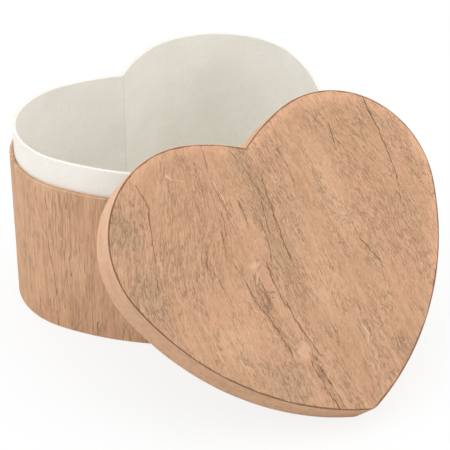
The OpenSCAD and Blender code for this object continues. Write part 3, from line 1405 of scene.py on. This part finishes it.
@dataclass(frozen=True)
class Greyboard:
    """Raw greyboard of pressed waste paper.

    The eye sees a dull warm grey with light and dark fibre flecks. Sizes are in mm.
    """

    name: str = "raw_greyboard"
    base: str = "#A8A196"
    pale: str = "#C2BCB0"
    dark: str = "#7F776B"
    fleck: Pair = (0.8, 2.4)
    pale_ramp: Pair = (0.52, 0.7)
    dark_ramp: Pair = (0.6, 0.74)
    fleck_height: float = 0.06
    roughness: float = 0.9

    def material(self) -> bpy.types.Material:
        """Builds the material.

        Returns:
            The finished material.
        """
        finish = Finish(self.name, Follow.OBJECT)
        spots = finish.grain(self.fleck, detail=3.0)
        others = finish.grain(self.fleck, detail=3.0, shift=9.0)
        pale = finish.take(Step.RAMP, spots, *self.pale_ramp)
        dark = finish.take(Step.RAMP, others, *self.dark_ramp)
        colour = finish.coat(linear(self.base), self.pale, pale)
        colour = finish.coat(colour, self.dark, dark)
        return finish.close(colour, finish.product(spots, self.fleck_height), self.roughness)


@dataclass(frozen=True)
class KraftTape:
    """Gummed kraft paper tape.

    The eye sees brown paper with lighter and darker fibres along the tape. Sizes are in mm.
    Kraft fibres are about 0.04 mm wide, too fine to show, so they are drawn 0.7 mm wide.
    """

    name: str = "gummed_kraft_tape"
    base: str = "#C3A079"
    dark: str = "#A5825C"
    fibre: Triple = (0.7, 0.7, 5.0)
    dark_ramp: Pair = (0.35, 0.68)
    fibre_height: float = 0.03
    roughness: float = 0.7

    def material(self) -> bpy.types.Material:
        """Builds the material.

        Returns:
            The finished material.
        """
        finish = Finish(self.name, Follow.OBJECT)
        fibres = finish.grain(self.fibre, detail=3.0)
        dark = finish.take(Step.RAMP, fibres, *self.dark_ramp)
        colour = finish.coat(linear(self.base), self.dark, dark)
        return finish.close(colour, finish.product(fibres, self.fibre_height), self.roughness)


# ---- what is printed on the papers ----


LID_CRACKS = (
    Streak((-26.2, 28), (-24.5, 7), -0.6, 0.22, 0.3),
    Streak((-17.6, 14.5), (-18.6, -1), 0.4, 0.6, 0.34),
    Streak((-22, 52), (-25, 34), 0.4, 0.19, 0.26),
    Streak((-26.1, -26), (-26.2, -40.5), 0.5, 0.3, 0.8),
    Streak((-27.4, -23.5), (-29.2, -30), 0.0, 0.22, 0.36),
    Streak((-11, 2), (-15, -21), 1.2, 0.26, 0.34),
    Streak((-33, 4), (-37.4, -10.6), 0.3, 0.26, 0.45),
    Streak((-45.6, -2.6), (-49, -11.6), 0.2, 0.2, 0.4),
    Streak((-65, 42), (-64, 27), 0.6, 0.34, 0.52),
    Streak((-64, 29), (-79, -14), 0.5, 0.45, 0.22),
    Streak((-9.5, 40), (-4, 8), 1.5, 0.3, 0.22),
    Streak((-5, 10), (-11, -14), 0.0, 0.38, 0.26),
    Streak((1, 23), (-5, -27), -0.6, 0.38, 0.71),
    Streak((16, 33), (14, 3), 2.0, 0.3, 0.22),
    Streak((41, 45), (47, 32), 0.0, 0.34, 0.22),
    Streak((50, 33), (47, 20), 0.5, 0.22, 0.34),
    Streak((36, -28), (41, -44), 0.6, 0.34, 0.38),
    Streak((41, -42), (38, -57), 0.5, 0.38, 0.22),
    Streak((-35, -15), (-33, -38), 1.0, 0.26, 0.52),
    Streak((-34, -34), (-28, -70), 1.6, 0.45, 0.75),
    Streak((-18, -20), (-19, -46), -0.8, 0.38, 0.56),
    Streak((-18, -42), (-13, -76), -1.2, 0.56, 0.45),
    Streak((76, 40), (73, -9), 0.8, 0.71, 0.34),
    Streak((73, -6), (68, -20), 0.3, 0.34, 0.22),
    Streak((-28, 13), (-32, -1), 0.3, 0.22, 0.38),
    Streak((-47, -14), (-46, -25), 0.4, 0.26, 0.38),
    Streak((-20, -74), (-16.5, -107), -0.6, 0.38, 0.6),
    Streak((-17, -73), (-13.5, -107), -0.4, 0.45, 0.52),
)
WALL_CRACKS = (
    Streak((430.5, 87), (431.2, 77), 0.2, 0.22, 0.4),
    Streak((424.5, 86), (423.0, 74), 0.3, 0.2, 0.34),
    Streak((424.8, 61), (422.2, 42), 0.5, 0.3, 0.5),
    Streak((422.8, 46), (420.2, 20), -0.4, 0.45, 0.34),
    Streak((432.8, 14), (432.5, 3), 0.2, 0.3, 0.4),
    Streak((425.0, 17), (425.0, 8), 0.2, 0.3, 0.5),
    Streak((420.5, 11), (420.3, 0.5), 0.2, 0.3, 0.45),
    Streak((411.5, 88), (411.0, 78), 0.2, 0.2, 0.36),
    Streak((411.0, 49), (410.0, 36), 0.3, 0.2, 0.3),
    Streak((395.5, 11), (395.3, 1), 0.2, 0.3, 0.5),
    Streak((450.5, 69), (450.0, 58), 0.2, 0.2, 0.34),
    Streak((355, 70), (353.5, 40), 0.4, 0.3, 0.45),
    Streak((287, 80), (285, 52), -0.4, 0.3, 0.5),
    Streak((230, 60), (233, 22), 0.5, 0.3, 0.45),
    Streak((150, 76), (148, 38), 0.4, 0.3, 0.5),
    Streak((86, 50), (88, 12), 0.4, 0.3, 0.45),
    Streak((36, 82), (34, 50), 0.3, 0.3, 0.45),
    Streak((505, 60), (503, 30), 0.3, 0.25, 0.4),
)
LID_STAINS = (
    Streak((-18.5, -70), (-15, -110), -0.5, 1.6, 3.2),
    Streak((-31, -46), (-25, -72), 1.0, 1.5, 2.6),
)
# Pale streaks along the grain: some are print, and those beside a crack are painted highlights on
# its embossed edge
LID_HAIRS = (
    Streak((-47.5, 40.5), (-39.5, 33.5), -1.6, 0.85, 0.85),
    Streak((-24.8, 29), (-22.6, 7), -0.6, 0.5, 0.35),
    Streak((-20.5, -21.0), (-28.9, -29.8), -1.4, 0.5, 0.4),
    Streak((-16.2, -24), (-15.6, -37), 0.6, 0.4, 0.4),
    Streak((14.5, -69), (13, -80), 2.4, 0.7, 0.7),
    Streak((18.5, -71), (16, -79), 1.6, 0.6, 0.6),
)
LID_PATCHES = (
    Patch((-81, 20), (10, 16), "#A88A6B", 0.55, 1.0),
    Patch((-82, -14), (11, 22), "#AA8A6C", 0.55, 0.9),
    Patch((-36, -82), (14, 14), "#A88769", 0.5, 1.0),
    Patch((31, -88), (6, 9), "#A88466", 0.5, 1.0),
    Patch((-45, 8), (18, 30), "#C0936F", 0.4, 0.6),
    Patch((58, -30), (18, 26), "#BE926F", 0.35, 0.8),
    Patch((60, 15), (14, 30), "#C39771", 0.3, 0.5),
    Patch((-52, -52), (14, 16), "#DAB08C", 0.5),
    Patch((-28, -38), (3.5, 9), "#8F6A4C", 0.6, 1.0),
    Patch((-22, -69), (7, 4.5), "#E0B493", 0.7),
    Patch((-5, 27), (6.5, 26), "#AC8A69", 0.6, 0.8),
    Patch((-7, -10), (7, 30), "#B08C6B", 0.55, 0.6),
    Patch((-24.5, -19.6), (5, 2.2), "#E2BA98", 0.6),
    Patch((34, 2), (8, 34), "#DDB28E", 0.5),
    Patch((8, -40), (10, 26), "#DDB08C", 0.4),
)
LID_KNOT = Knot((-21.8, -29), (4.8, 8.5), "#C99C7F")


# ---- sub-assemblies ----


@dataclass
class GiftBox:
    """The open box: wall, white shoulder neck, bottom and lining. Sizes are in mm."""

    outline: HeartOutline
    body: str = "box"
    wall_height: float = 89.0
    neck_height: float = 104.9
    foot_level: float = 0.2
    floor_level: float = 2.5
    wrap_thickness: float = 0.3
    lining_thickness: float = 0.2
    wall_inset: float = 2.6
    neck_inset: float = 4.5
    turn_under: float = 12.0
    turn_in: float = 12.0
    neck_lap: float = 14.0
    lining_gap: float = 0.3
    wall_fold: float = 0.55
    neck_fold: float = 0.5
    step: float = 1.4
    row_step: float = 3.5
    sheet_step: float = 2.5

    def build(self) -> list[bpy.types.Object]:
        """Builds and dresses every piece of the box.

        Returns:
            The pieces.
        """
        under = WoodPrintPaper("base_wood_print_paper", Follow.OBJECT).material()
        return [
            *dress(under, "base_sheet"),
            *dress(Greyboard().material(), "base_board", "wall_board", "neck_board"),
            *dress(KraftTape().material(), "wall_stay", "neck_stay"),
            self.build_wall_covering(),
            self.build_neck_covering(),
            self.build_floor_lining(),
        ]

    def build_wall_covering(self) -> bpy.types.Object:
        """Wood-look paper from under the foot, up the wall and over its edge.

        Returns:
            The piece.
        """
        corners = [
            (self.turn_under, self.foot_level),
            (0.0, self.foot_level),
            (0.0, self.wall_height),
            (self.wall_inset, self.wall_height),
            (self.wall_inset, self.wall_height - self.turn_in),
        ]
        path = folded_path(corners, self.wall_fold, self.row_step)
        section, exposed = paper_section(path, -self.wrap_thickness)
        relief = swell(depth=0.1, wave=70.0, seed=0.4)
        surface = carried_band(self.outline, section, exposed, self.step, relief)
        paper = WoodPrintPaper(
            "wall_wood_print_paper", light="#E9BE98", middle="#D6A883", fibre=(0.6, 9.0),
            bend=FibreBend(slow_sway=1.1), fissures=Fissures(size=(2.0, 36.0), share=0.18),
            cracks=WALL_CRACKS, seam=SeamShadeFoldHighlight(self.wall_inset, self.wall_fold),
        ).material()
        return surface.to_object("wall_covering", self.body, "wood_paper", "wall_wrap", paper)

    def build_neck_covering(self) -> bpy.types.Object:
        """White paper outside the neck, over its edge and down inside to the floor.

        Returns:
            The piece.
        """
        corners = [
            (self.wall_inset, self.wall_height - self.neck_lap),
            (self.wall_inset, self.neck_height),
            (self.neck_inset, self.neck_height),
            (self.neck_inset, self.floor_level),
        ]
        path = folded_path(corners, self.neck_fold, self.row_step)
        section, exposed = paper_section(path, -self.lining_thickness)
        relief = swell(depth=0.08, wave=60.0, seed=1.7)
        surface = carried_band(self.outline, section, exposed, self.step, relief)
        paper = LiningPaper().material()
        return surface.to_object("neck_covering", self.body, "white_paper", "neck_wrap", paper)

    def build_floor_lining(self) -> bpy.types.Object:
        """White sheet on the floor of the box.

        Returns:
            The piece.
        """
        inset = self.neck_inset + self.lining_gap
        top = self.floor_level + self.lining_thickness
        relief = swell(depth=0.06, wave=50.0, seed=2.6)
        surface = cut_sheet(self.outline, inset, self.floor_level, top, self.sheet_step, relief)
        paper = LiningPaper("floor_lining_paper").material()
        return surface.to_object("floor_sheet", self.body, "white_paper", "floor_lining", paper)


@dataclass
class Lid:
    """The shallow lid, built flat and opening down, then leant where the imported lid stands."""

    outline: HeartOutline
    body: str = "lid"
    height: float = 19.0
    ease: float = 0.4
    wrap_thickness: float = 0.3
    board_thickness: float = 2.0
    lining_thickness: float = 0.2
    sheet_margin: float = 0.6
    turn_over: float = 6.0
    lining_gap: float = 0.3
    fold: float = 0.55
    pitch: float = math.radians(45)
    roll: float = math.radians(-4.5)
    yaw: float = math.radians(-11)
    step: float = 1.4
    row_step: float = 3.0
    lining_step: float = 2.5

    @property
    def sheet_level(self) -> float:
        """Height of the under side of the top sheet."""
        return self.height - self.wrap_thickness

    @property
    def panel_level(self) -> float:
        """Height of the under side of the top board."""
        return self.sheet_level - self.wrap_thickness - self.board_thickness

    @property
    def rim_inset(self) -> float:
        """Inset of the covered rim's inner face."""
        return 2 * self.wrap_thickness + self.board_thickness - self.ease

    def lean(self, surface: Surface) -> None:
        """Turns a flat-drawn surface to the lid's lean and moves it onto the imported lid.

        Vertex at rest = turn * (drawn vertex + shift). Turned back by the lean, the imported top
        sheet has its tip and its face at known places, and the shift is how far they lie from
        the drawn ones.

        Args:
            surface: Surface drawn flat, in mm, which is moved.
        """
        turn = np.array(Euler((self.pitch, self.roll, self.yaw), "XYZ").to_matrix())
        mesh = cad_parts["lid_sheet"].data
        packed = np.zeros(len(mesh.vertices) * 3, np.float32)
        mesh.vertices.foreach_get("co", packed)
        level = packed.reshape(-1, 3).astype(float) * PER_METRE @ turn
        inset = self.sheet_margin - self.ease
        drawn = self.outline.trace(np.array([inset]), self.outline.places(self.step))[0]
        middle = (level[:, 0].min() + level[:, 0].max()) / 2
        tip = level[:, 1].min() - drawn[:, 1].min()
        face = level[:, 2].max() - self.height
        surface.vertices = (surface.vertices + [middle, tip, face]) @ turn.T

    def build(self) -> list[bpy.types.Object]:
        """Builds and dresses every piece of the lid.

        Returns:
            The pieces.
        """
        return [
            *dress(Greyboard("lid_greyboard").material(), "lid_board", "lid_rim_board"),
            self.build_rim_covering(),
            self.build_top_sheet(),
            self.build_lining(),
        ]

    def build_rim_covering(self) -> bpy.types.Object:
        """Peach paper turned over onto the top, down the rim and up inside it.

        Returns:
            The piece.
        """
        corners = [
            (self.turn_over, self.sheet_level),
            (-self.ease, self.sheet_level),
            (-self.ease, 0.0),
            (self.rim_inset, 0.0),
            (self.rim_inset, self.panel_level),
        ]
        path = folded_path(corners, self.fold, self.row_step)
        section, exposed = paper_section(path, self.wrap_thickness)
        relief = swell(depth=0.08, wave=55.0, seed=0.9)
        surface = carried_band(self.outline, section, exposed, self.step, relief)
        self.lean(surface)
        paper = RimPaper().material()
        return surface.to_object("rim_covering", self.body, "rim_paper", "lid_rim_wrap", paper)

    def build_top_sheet(self) -> bpy.types.Object:
        """Wood-look sheet on the top.

        Returns:
            The piece.
        """
        inset = self.sheet_margin - self.ease
        relief = swell(depth=0.05, wave=80.0, seed=0.2)
        surface = cut_sheet(self.outline, inset, self.sheet_level, self.height, self.step, relief)
        self.lean(surface)
        paper = WoodPrintPaper(
            "top_wood_print_paper", bend=FibreBend(fan=(0.48, -0.03, -0.17)), cracks=LID_CRACKS,
            hairs=LID_HAIRS, stains=LID_STAINS, patches=LID_PATCHES, knot=LID_KNOT,
            edge=CutEdge("#E6B28E"),
        ).material()
        return surface.to_object("top_sheet", self.body, "wood_paper", "lid_sheet", paper)

    def build_lining(self) -> bpy.types.Object:
        """White sheet inside the lid.

        Returns:
            The piece.
        """
        inset = self.rim_inset + self.lining_gap
        low = self.panel_level - self.lining_thickness
        flat = swell(depth=0.0, wave=50.0, seed=0.0)
        surface = cut_sheet(self.outline, inset, low, self.panel_level, self.lining_step, flat)
        self.lean(surface)
        paper = LiningPaper("lid_lining_paper").material()
        return surface.to_object("lid_lining_sheet", self.body, "white_paper", "lid_lining", paper)


def dress(material: bpy.types.Material, *nodes: str) -> list[bpy.types.Object]:
    """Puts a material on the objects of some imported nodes.

    Args:
        material: Material for their whole surface.
        *nodes: Names of the nodes.

    Returns:
        The nodes' objects.
    """
    pieces = [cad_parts[node] for node in nodes]
    for piece in pieces:
        piece.data.materials.clear()
        piece.data.materials.append(material)
    return pieces


# ---- studio ----


@dataclass(frozen=True)
class Lamp:
    """A square soft lamp: its place and side in metres, and its power in watts."""

    name: str
    place: Triple
    side: float
    power: float


@dataclass
class Studio:
    """Camera, plain pale floor and soft light. Lengths in metres, angles in degrees."""

    camera_place: Triple = (-0.59651, -0.65756, 0.57038)
    azimuth: float = -44.484
    elevation: float = 31.849
    lens: float = 143.51
    floor_radius: float = 3.0
    floor_sides: int = 96
    floor_fade: Pair = (0.09, 0.2)
    floor_glow: float = 0.82
    floor_middle: Triple = (-0.02, -0.08, 0.0)
    sky: float = 0.73
    lamps: tuple[Lamp, ...] = (
        Lamp("top_softbox", (-0.1, -0.1, 1.6), 1.5, 6.0),
        Lamp("left_softbox", (-1.2, 0.3, 0.8), 0.9, 3.6),
        Lamp("right_softbox", (0.4, -1.2, 0.8), 0.9, 4.3),
    )
    target: Triple = (0.0, -0.05, 0.06)

    def build(self) -> None:
        """Makes the camera, the lights and the floor."""
        self.build_camera()
        self.build_sky()
        self.build_lamps()
        self.build_floor()

    def build_camera(self) -> None:
        """Makes the scene's camera, with no shift and no depth of field."""
        data = bpy.data.cameras.new("camera")
        data.lens = self.lens
        camera = bpy.data.objects.new("camera", data)
        camera.location = self.camera_place
        turn = (math.radians(90 - self.elevation), 0.0, math.radians(self.azimuth))
        camera.rotation_euler = turn
        bpy.context.scene.collection.objects.link(camera)
        bpy.context.scene.camera = camera

    def build_sky(self) -> None:
        """Even sky light, which the camera sees as plain white."""
        world = bpy.data.worlds.new("studio")
        world.use_nodes = True
        tree = world.node_tree
        tree.nodes.clear()
        ray = add_node(tree, "LightPath").outputs
        seen = take(tree, Step.LARGER, ray["Is Camera Ray"], ray["Is Glossy Ray"])
        seen = take(tree, Step.LARGER, seen, ray["Is Transmission Ray"])
        strength = take(tree, Step.LINE, seen, self.sky, 1.0)
        light = add_node(tree, "Background", {"Color": linear("#FFFFFF"), "Strength": strength})
        add_node(tree, "OutputWorld", {"Surface": light.outputs[0]})
        bpy.context.scene.world = world

    def build_lamps(self) -> None:
        """Soft lamps, each turned to the target."""
        for lamp in self.lamps:
            data = bpy.data.lights.new(lamp.name, "AREA")
            data.energy = lamp.power
            data.size = lamp.side
            light = bpy.data.objects.new(lamp.name, data)
            light.location = lamp.place
            way = Vector(self.target) - Vector(lamp.place)
            light.rotation_euler = way.to_track_quat("-Z", "Y").to_euler()
            bpy.context.scene.collection.objects.link(light)

    def build_floor(self) -> None:
        """Pale floor that takes the shadow near the box and fades to white further out."""
        turn = np.linspace(0, 2 * np.pi, self.floor_sides, endpoint=False)
        rim = np.stack([np.cos(turn), np.sin(turn), np.zeros_like(turn)], axis=1)
        rim *= self.floor_radius
        mesh = bpy.data.meshes.new("floor")
        mesh.from_pydata(rim.tolist(), [], [list(range(len(rim)))])
        floor = bpy.data.objects.new("floor", mesh)
        bpy.context.scene.collection.objects.link(floor)
        mesh.materials.append(self.floor_material())

    def floor_material(self) -> bpy.types.Material:
        """White paper sweep: matt near the box, glowing plain white to the camera further out.

        Returns:
            The finished material.
        """
        material = bpy.data.materials.new("white_paper_sweep")
        material.use_nodes = True
        tree = material.node_tree
        tree.nodes.clear()
        place = add_node(tree, "TexCoord").outputs["Object"]
        middle = {0: place, 1: self.floor_middle}
        reach = add_node(tree, "VectorMath", middle, operation="DISTANCE").outputs["Value"]
        fade = take(tree, Step.RAMP, reach, *self.floor_fade, self.floor_glow, 1.0)
        seen = add_node(tree, "LightPath").outputs["Is Camera Ray"]
        glow = take(tree, Step.PRODUCT, fade, seen)
        matt = add_node(tree, "BsdfDiffuse", {"Color": linear("#F6F6F6")}).outputs[0]
        white = {"Color": linear("#FFFFFF"), "Strength": 1.0}
        shine = add_node(tree, "Emission", white).outputs[0]
        mixed = add_node(tree, "MixShader", {0: glow, 1: matt, 2: shine}).outputs[0]
        add_node(tree, "OutputMaterial", {"Surface": mixed})
        return material


# ---- the whole scene ----


def main() -> None:
    """Builds the studio, the box and the lid in order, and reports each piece."""
    bpy.context.scene.view_settings.view_transform = "Standard"
    outline = HeartOutline()
    Studio().build()
    for piece in [*GiftBox(outline).build(), *Lid(outline).build()]:
        mesh = piece.data
        LOG.info("%s: %d faces of %s", piece.name, len(mesh.polygons), mesh.materials[0].name)


if __name__ == "__main__":
    main()
